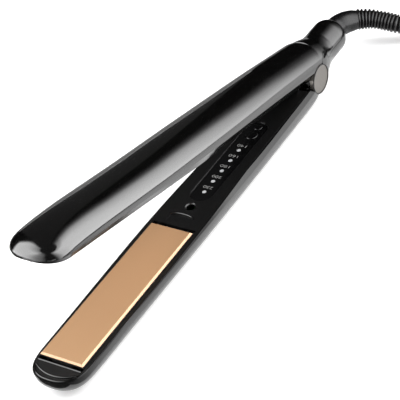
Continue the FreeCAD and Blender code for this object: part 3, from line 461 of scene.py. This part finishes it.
# the lower shell's up-facing rim faces above the waist take the dimmer black: painted shade on the rim
me = nodes["lower_shell"].data
me.materials.append(M["shell_rim_painted_shade"])
for p in me.polygons:
    X, Y, Z = p.center.x * 1000 + 103.85, abs(p.center.y * 1000), p.center.z * 1000 - 16.7
    if X > 6.0 and Z > LO_ZW(X) + 0.02 and p.normal.z > 0.2:
        p.material_index = 1

# ribbed sleeve: the rings of the strain relief shine, and the grooves between them get painted shade, a near-black copy
# of the cord material with almost no reflection
RIB_FROM = 17.5
SLEEVE = [(-43.6, 0.0, 1.27), (-46.0, 0.12, 1.22), (-49.2, 0.7, 1.06), (-52.3, 1.95, 0.94), (-54.7, 3.75, 0.8),
          (-56.7, 5.7, 0.62), (-59.4, 9.1, 0.24), (-62.2, 13.9, -0.4), (-64.0, 19.2, -1.4), (-65.1, 24.8, -2.4),
          (-66.1, 30.5, -3.5), (-69.0, 36.4, -5.0), (-73.6, 41.4, -6.6)]
dense = []
for i in range(len(SLEEVE) - 1):
    p0, p1, p2, p3 = [Vector(SLEEVE[max(0, min(len(SLEEVE) - 1, i + k))]) for k in (-1, 0, 1, 2)]
    for k in range(12):
        t = k / 12.0
        dense.append(0.5 * (2 * p1 + (p2 - p0) * t + (2 * p0 - 5 * p1 + 4 * p2 - p3) * t * t +
                            (3 * p1 - p0 - 3 * p2 + p3) * t * t * t))
dense.append(Vector(SLEEVE[-1]))
run = [0.0]
for i in range(1, len(dense)):
    run.append(run[-1] + (dense[i] - dense[i - 1]).length)
def sleeve_frame(at):
    k = 0
    while k < len(run) - 2 and run[k + 1] < at:
        k += 1
    t = (at - run[k]) / max(1e-9, run[k + 1] - run[k])
    d = (dense[min(k + 2, len(dense) - 1)] - dense[max(k - 1, 0)]).normalized()
    return dense[k].lerp(dense[k + 1], t), d


core_r = law([(0, 6.25), (3, 6.65), (9, 6.5), (14, 6.2), (17, 5.6), (22, 5.2), (34, 4.95), (run[-1], 4.3)])
crest_r = law([(14, 6.3), (20, 6.15), (24, 5.95), (30, 5.65), (40, 5.6), (run[-1], 4.75)])
PITCH, SIDES = 2.05, 56
sv, sf, sm, last_at = [], [], [], run[-1] - 0.6


def sleeve_r(at):
    """Outline of the sleeve: a smooth elbow, then round-topped rings with narrow grooves."""
    if at < RIB_FROM - 0.2 or at > last_at - 1.0:
        return core_r(at), 0
    u = ((at - RIB_FROM) / PITCH) % 1.0
    low, high = core_r(at) - 0.25, crest_r(at)
    if u < 0.66:
        return low + (high - low) * max(0.0, 1.0 - abs(u / 0.33 - 1.0) ** 2.6) ** 0.5, 1
    return low, 2


at, stations = 0.0, []
while at < RIB_FROM - 0.3:
    stations.append(at)
    at += 0.6
while at < run[-1]:
    stations.append(at)
    at += 0.115
stations.append(run[-1])
side_ref = Vector((0, 0, 1))
for at in stations:
    c0, d = sleeve_frame(at)
    xa = side_ref.cross(d).normalized()
    ya = d.cross(xa).normalized()
    r, kind = sleeve_r(at)
    r = min(r, crest_r(at)) if at > 14 else r
    for k in range(SIDES):
        a = 2 * math.pi * k / SIDES
        q = c0 + xa * (r * math.cos(a)) + ya * (r * math.sin(a))
        sv.append(tuple(P(q.x, q.y, q.z)))
    sm.append(kind)
for i in range(len(stations) - 1):
    for k in range(SIDES):
        sf.append((i * SIDES + k, i * SIDES + (k + 1) % SIDES, (i + 1) * SIDES + (k + 1) % SIDES, (i + 1) * SIDES + k))
sf.append(tuple(range(SIDES))[::-1])
sf.append(tuple((len(stations) - 1) * SIDES + k for k in range(SIDES)))
me = bpy.data.meshes.new("ribbed_sleeve")
me.from_pydata(sv, [], sf)
for m_ in (M["sleeve_smooth"], M["rib_crest"], M["rib_groove_painted_shade"]):
    me.materials.append(m_)
# faces of kind 2, in the grooves, take the painted shade material
for i, p in enumerate(me.polygons):
    p.use_smooth = len(p.vertices) == 4
    st = i // SIDES
    p.material_index = sm[st] if st < len(stations) - 1 else 0
sleeve = bpy.data.objects.new("ribbed_sleeve", me)
scene.collection.objects.link(sleeve)
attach(sleeve, "cord_swivel")
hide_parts("strain_relief")


def soft_copy(node, name):
    """A copy of a CAD node, with its own copy of the mesh, linked into the scene."""
    src = nodes[node]
    ob = bpy.data.objects.new(name, src.data.copy())
    scene.collection.objects.link(ob)
    return ob


# silicone cushions, 2.6 mm thick, sit under their plates, and the plate comes down 0.6 mm; the leads across the hinge
# run from the board below the pin into the upper arm. The cushions and the leads are plain copies of their CAD nodes
for node, name, body, joint, ax, foot in (
        ("lower_cushions", "lower_cushion_set", "lower_arm", "lower_plate_float", (0, 0, 1), P(178, 0, -7.8)),
        ("upper_cushions", "upper_cushion_set", "upper_arm", "upper_plate_float", (math.sin(TILT), 0, -math.cos(TILT)),
         P(178 * math.cos(TILT) - 7.8 * math.sin(TILT), 0, 178 * math.sin(TILT) + 7.8 * math.cos(TILT)))):
    c_ = soft_copy(node, name)
    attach(c_, body)
    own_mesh(c_)
    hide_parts(node)
bent = soft_copy("hinge_leads", "hinge_lead_pair")
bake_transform(bent)
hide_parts("hinge_leads")

# heater leads leave the arm at their rear end and reach the floating heater at their front end
for node, name, arm, pset, cx, cz in (
        ("lower_heater_leads", "lower_heater_lead_pair", "lower_arm", "lower_plate_set", 1.0, 0.0),
        ("upper_heater_leads", "upper_heater_lead_pair", "upper_arm", "upper_plate_set", math.cos(TILT), math.sin(TILT))):
    flex = soft_copy(node, name)
    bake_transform(flex)
    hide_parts(node)

# the face and the bevels of a plate keep the copper coating; its sides and tabs below get the near-black matte, painted
# shade in the gap round the plate
for n, s in (("lower_plate", 1.0), ("upper_plate", -1.0)):
    me = nodes[n].data
    me.materials.append(M["plate_edge"])
    axis = Vector((0, 0, 1)) if s > 0 else Vector((math.sin(TILT), 0, -math.cos(TILT)))
    top_face = max(v.co.dot(axis) for v in me.vertices)
    for p in me.polygons:
        if p.center.dot(axis) < top_face - 0.0011:
            p.material_index = 1


# ------------------------------------------------------------------ numerals on the control panel
def numerals(name, text, x, z, size, width=None):
    fc = bpy.data.curves.new(name, "FONT")
    fc.body = text
    fc.size = size * MM
    fc.extrude = 0.015 * MM
    fc.align_x = "CENTER"
    fc.align_y = "CENTER"
    fc.resolution_u = 6
    tmp = bpy.data.objects.new(name + "_tmp", fc)
    scene.collection.objects.link(tmp)
    bpy.context.view_layer.update()
    me = bpy.data.meshes.new_from_object(tmp)
    bpy.data.objects.remove(tmp)
    me.name = name
    # reads upright from the hinge end: its right is -Y and its top is +X
    rot = Matrix(((0, 1, 0), (-1, 0, 0), (0, 0, 1))).to_4x4()
    ob = bpy.data.objects.new(name, me)
    co = [v.co.copy() for v in me.vertices]
    wide = max(c.x for c in co) - min(c.x for c in co)
    k = 1.0 if width is None else width * MM / wide
    for v in me.vertices:
        c = v.co.copy()
        c.x *= k
        v.co = rot @ c + Vector(((x + OX) * MM, 0, z))
    me.materials.append(M["print_grey"])
    scene.collection.objects.link(ob)
    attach(ob, "lower_arm")
    return ob


lens_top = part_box("control_lens")[1].z
for lx, t in zip((105.4, 96.25, 87.1, 77.95, 68.8), ("230", "200", "180", "160", "140")):
    numerals("mark_" + t, t, lx - 4.0, lens_top + 0.00002, 2.9, 5.6)


def ring(name, x, z, r0, r1, gap=0.0, seg=64, y=0.0):
    """Thin printed ring, with an opening of gap radians towards +X."""
    me = bpy.data.meshes.new(name)
    bm = bmesh.new()
    rows = []
    span = 2 * math.pi - gap
    steps = seg if gap == 0 else seg
    for i in range(steps + (1 if gap else 0)):
        a = gap / 2 + span * i / seg
        quad = []
        for r, h in ((r0, 0.0), (r1, 0.0), (r1, 0.03), (r0, 0.03)):
            quad.append(bm.verts.new(((x + OX + r * math.cos(a)) * MM, (y + r * math.sin(a)) * MM, z + h * MM)))
        rows.append(quad)
    n = len(rows)
    for i in range(n if not gap else n - 1):
        a, b = rows[i], rows[(i + 1) % n]
        for k in range(4):
            bm.faces.new((a[k], a[(k + 1) % 4], b[(k + 1) % 4], b[k]))
    if gap:
        bm.faces.new(rows[0][::-1])
        bm.faces.new(rows[-1])
    bmesh.ops.recalc_face_normals(bm, faces=bm.faces)
    bm.to_mesh(me)
    bm.free()
    me.materials.append(M["print_grey"])
    ob = bpy.data.objects.new(name, me)
    scene.collection.objects.link(ob)
    return ob


def bead(name, points, r, mat, body="lower_arm", closed=False):
    """Fine rounded edge along a line of points, each in mm from the hinge axis."""
    c = bpy.data.curves.new(name, "CURVE")
    c.dimensions = "3D"
    q = c.splines.new("NURBS")
    q.points.add(len(points) - 1)
    for i, t in enumerate(points):
        v = P(*t)
        q.points[i].co = (v.x, v.y, v.z, 1.0)
    q.order_u = 3
    q.use_endpoint_u = not closed
    q.use_cyclic_u = closed
    q.resolution_u = 6
    c.bevel_depth = r * MM
    c.bevel_resolution = 3
    c.use_fill_caps = True
    tmp = bpy.data.objects.new(name + "_tmp", c)
    scene.collection.objects.link(tmp)
    bpy.context.view_layer.update()
    me = bpy.data.meshes.new_from_object(tmp)
    bpy.data.objects.remove(tmp)
    for f in me.polygons:
        f.use_smooth = True
    me.materials.clear()
    me.materials.append(mat)
    ob = bpy.data.objects.new(name, me)
    scene.collection.objects.link(ob)
    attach(ob, body)
    return ob


def z_cov(x):
    return -1.45 - 0.007 * max(0.0, x - 140.0)


def on_cover(pts, sink=0.0):
    return [(x, y, z_cov(x) - sink) for x, y in pts]


edge = M["lens_black"]
shelf = bpy.data.meshes.new("window_shelf")
sx = [239.4, 239.9, 241.8, 241.8, 239.4]
sz = [z_cov(240.0) - 0.45, z_cov(240.0) - 0.02, z_cov(241.8) - 0.02, z_cov(241.8) - 1.3, z_cov(240.0) - 1.3]
sv = [tuple(P(sx[k], y, sz[k])) for y in (-12.7, 12.7) for k in range(5)]
shelf.from_pydata(sv, [], [(0, 1, 2, 3, 4), (9, 8, 7, 6, 5)] + [(k, k + 5, (k + 1) % 5 + 5, (k + 1) % 5) for k in range(5)])
shelf.materials.append(M["cover_matte"])
so = bpy.data.objects.new("window_shelf", shelf)
scene.collection.objects.link(so)
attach(so, "lower_arm")
bead("window_front_lip", on_cover([(239.9, -12.5), (239.9, -8), (239.9, 0), (239.9, 8), (239.9, 12.5)], 0.22), 0.55, edge)
rim = [(u, 14.1 * (1 - u ** 2.6) ** (1 / 2.6)) for u in (0.62, 0.74, 0.84, 0.91, 0.96, 0.985, 0.997)]
bead("nose_rim", on_cover([(232.5 + 17.2 * u, -y) for u, y in rim] + [(249.7, 0.0)] +
                          [(232.5 + 17.2 * u, y) for u, y in reversed(rim)], 0.12), 0.5, edge)
bead("nose_crescent", on_cover([(242.8, -12.2), (244.6, -9.0), (246.2, -5.0), (246.9, 0.0), (246.4, 4.5), (244.9, 8.5),
                                (242.8, 11.8)], 0.30), 0.55, edge)
bead("scoop_lip", on_cover([(127.2, -7.8), (126.0, -6.0), (125.3, -3.0), (125.2, 0.0), (125.4, 3.0), (126.2, 5.6),
                            (127.4, 7.2)], 0.25), 0.5, edge)
lens_z = (lens_top * 1000 - OZ)
ring_pts = []
for k in range(10):
    a = -math.pi / 2 + math.pi * k / 9
    ring_pts.append((107.3 + 6.6 * math.cos(a), 6.6 * math.sin(a), lens_z))
for x in (95, 80, 65):
    ring_pts.append((x, 6.6, lens_z))
for k in range(10):
    a = math.pi / 2 + math.pi * k / 9
    ring_pts.append((49.9 + 6.6 * math.cos(a), 6.6 * math.sin(a), lens_z))
for x in (65, 80, 95):
    ring_pts.append((x, -6.6, lens_z))
bead("lens_edge", ring_pts, 0.13, edge, closed=True)

# a near-black matte ring at each end of the hinge cap: painted shade in the gap between cap and shell
for side in (1, -1):
    bead("cap_gap_painted_shade_%s" % ("right" if side > 0 else "left"),
         [(8.42 * math.cos(math.pi * k / 8), side * 14.15, 8.42 * math.sin(math.pi * k / 8)) for k in range(16)], 0.3,
         M["plate_edge"], closed=True)

# ------------------------------------------------------------------ floor and light
me = bpy.data.meshes.new("floor")
bm = bmesh.new()
for x, y in ((-6, -6), (6, -6), (6, 6), (-6, 6)):
    bm.verts.new((x, y, 0.0))
bm.faces.new(bm.verts)
bm.to_mesh(me)
bm.free()
floor = bpy.data.objects.new("floor", me)
scene.collection.objects.link(floor)
fm, nt, b = new_mat("floor_white")
nz = noise(nt, coords(nt), 3.0, 3.0, 0.5)
nt.links.new(ramp(nt, nz, [(0.3, (0.88, 0.88, 0.88)), (0.7, (0.90, 0.90, 0.90))]), b.inputs["Base Color"])
b.inputs["Roughness"].default_value = 0.85
b.inputs["Specular IOR Level"].default_value = 0.2
b.inputs["Emission Color"].default_value = (1.0, 1.0, 1.0, 1.0)
b.inputs["Emission Strength"].default_value = 0.45
floor.data.materials.append(fm)


def softbox(name, az, el, dist, w, h, power, target=(0.0, 0.0, 0.03), roll=0.0):
    """Rectangular light in the direction az, el from the target, facing it."""
    d = bpy.data.lights.new(name, "AREA")
    d.shape = "RECTANGLE"
    d.size, d.size_y = w, h
    d.energy = power
    o = bpy.data.objects.new(name, d)
    a, e = math.radians(az), math.radians(el)
    v = Vector((math.cos(a) * math.cos(e), math.sin(a) * math.cos(e), math.sin(e)))
    o.location = Vector(target) + v * dist
    o.rotation_euler = (v.to_track_quat("Z", "Y").to_matrix().to_4x4() @ Matrix.Rotation(roll, 4, "Z")).to_euler()
    scene.collection.objects.link(o)
    return o


w = bpy.data.worlds.new("studio")
scene.world = w
w.use_nodes = True
bg = w.node_tree.nodes["Background"]
bg.inputs["Color"].default_value = (1.0, 1.0, 1.0, 1.0)
bg.inputs["Strength"].default_value = 0.08


def watts(radiance, w, h):
    return radiance * math.pi * w * h


for nm, az, el, lv in (("lamp_top", 20.0, 80.0, 2.0), ("lamp_right", 105.0, 44.0, 5.4), ("lamp_left", 292.0, 44.0, 5.4)):
    lamp = softbox(nm, az, el, 1.7, 1.3, 1.3, watts(lv, 1.3, 1.3))
    lamp.visible_glossy = False


def glow(mesh, name, vals):
    at = mesh.color_attributes.new("level", "FLOAT_COLOR", "POINT")
    for i, v in enumerate(vals):
        at.data[i].color = (v, v, v, 1.0)
    mt = bpy.data.materials.new(name)
    mt.use_nodes = True
    nt = mt.node_tree
    nt.nodes.clear()
    att = nt.nodes.new("ShaderNodeAttribute")
    att.attribute_name = "level"
    em = nt.nodes.new("ShaderNodeEmission")
    em.inputs["Strength"].default_value = 10.0
    nt.links.new(att.outputs["Color"], em.inputs["Color"])
    ou = nt.nodes.new("ShaderNodeOutputMaterial")
    nt.links.new(em.outputs["Emission"], ou.inputs["Surface"])
    mesh.materials.append(mt)


def wall(name, level, az0, az1, z1, radius, z0=0.002, steps_a=36, steps_z=12):
    """Curved softbox standing round the object; level(az, height share) is its radiance."""
    mesh = bpy.data.meshes.new(name)
    verts, faces, vals = [], [], []
    for j in range(steps_z + 1):
        for i in range(steps_a + 1):
            az = az0 + (az1 - az0) * i / steps_a
            h = j / steps_z
            verts.append((radius * math.cos(math.radians(az)), radius * math.sin(math.radians(az)), z0 + (z1 - z0) * h))
            vals.append(level(az, h) / 10.0)
    for j in range(steps_z):
        for i in range(steps_a):
            k = j * (steps_a + 1) + i
            faces.append((k, k + 1, k + steps_a + 2, k + steps_a + 1))
    mesh.from_pydata(verts, [], faces)
    glow(mesh, name, vals)
    ob = bpy.data.objects.new(name, mesh)
    scene.collection.objects.link(ob)
    ob.visible_camera = False
    ob.visible_diffuse = False
    ob.visible_shadow = False
    return ob


def bend(x, pts):
    for (x0, y0), (x1, y1) in zip(pts, pts[1:]):
        if x <= x1:
            return y0 + (y1 - y0) * max(0.0, (x - x0) / (x1 - x0))
    return pts[-1][1]


def right_level(az, h):
    z = h * 950.0
    a = az - 0.075 * max(0.0, min(z, 450.0) - 100.0)
    side = bend(az, [(42, 0), (47, 0.5), (56, 2.7), (66, 5.2), (75, 7.6), (90, 8.2), (120, 9.0)])
    far = bend(a, [(100, 9.0), (120, 8.5), (130, 8.0), (138, 6.8), (149, 5.2), (157, 3.7), (162, 2.2), (166, 1.1), (172, 0.35),
                   (178, 0.1), (182, 0.0)])
    return min(side, far) * bend(z, [(0, 1), (600, 1), (690, 0.66), (870, 0.5), (950, 0.0)])


wall("softbox_right", right_level, 42, 210, 0.95, 0.30, steps_a=84, steps_z=38)


def left_level(az, h):
    z = h * 1700.0
    side = bend(z, [(0, 300), (180, 300), (330, 288), (450, 269), (600, 262), (726, 256.5), (950, 258), (1200, 262), (1700, 262)])
    far = bend(az, [(250, 7.0), (285, 7.7), (311, 8.1), (330, 8.3), (334, 7.4), (338, 5.8), (343, 4.1), (348, 3.1), (354, 2.4),
                    (364, 1.7), (374, 0.5), (380, 0.0)])
    return bend(az - side, [(-4, 0.0), (5, 1.0)]) * far * bend(z, [(0, 1), (720, 1), (962, 0.72), (1301, 0.46), (1700, 0.2)])


wall("softbox_left", left_level, 250, 380, 1.70, 0.5, steps_a=90, steps_z=50)


def card(name, x0, x1, y0, y1, z, level, step=0.012):
    """Flat glowing panel on the floor, seen in reflections only; level(x, y) is its radiance."""
    nx, ny = max(1, int(round((x1 - x0) / step))), max(1, int(round((y1 - y0) / step)))
    verts, vals, faces = [], [], []
    for j in range(ny + 1):
        for i in range(nx + 1):
            x, y = x0 + (x1 - x0) * i / nx, y0 + (y1 - y0) * j / ny
            verts.append((x, y, z))
            vals.append(level(x, y) / 10.0)
    for j in range(ny):
        for i in range(nx):
            k = j * (nx + 1) + i
            faces.append((k, k + 1, k + nx + 2, k + nx + 1))
    mesh = bpy.data.meshes.new(name)
    mesh.from_pydata(verts, [], faces)
    glow(mesh, name, vals)
    ob = bpy.data.objects.new(name, mesh)
    scene.collection.objects.link(ob)
    ob.visible_camera = False
    ob.visible_diffuse = False
    ob.visible_shadow = False


def far_level(x, y):
    return 0.42 * bend(x, [(0.12, 1.0), (0.19, 0.3)]) + 0.02


def near_level(x, y):
    side = bend(y, [(0.018, 1.0), (0.045, 1.0), (0.070, 1.35), (0.16, 1.35), (0.20, 0.35)])
    return side * bend(x, [(0.00, 1.75), (0.04, 1.3), (0.108, 1.2), (0.126, 0.7), (0.150, 0.18), (0.30, 0.10)])


card("card_far", -0.7, 0.30, -0.9, -0.030, 0.0004, far_level, 0.03)
card("card_near", -0.7, 0.30, 0.018, 0.40, 0.0004, near_level, 0.009)
card("card_nose", 0.150, 0.30, -0.030, 0.018, 0.0006, lambda x, y: 0.10)
scene.view_settings.view_transform = "Standard"
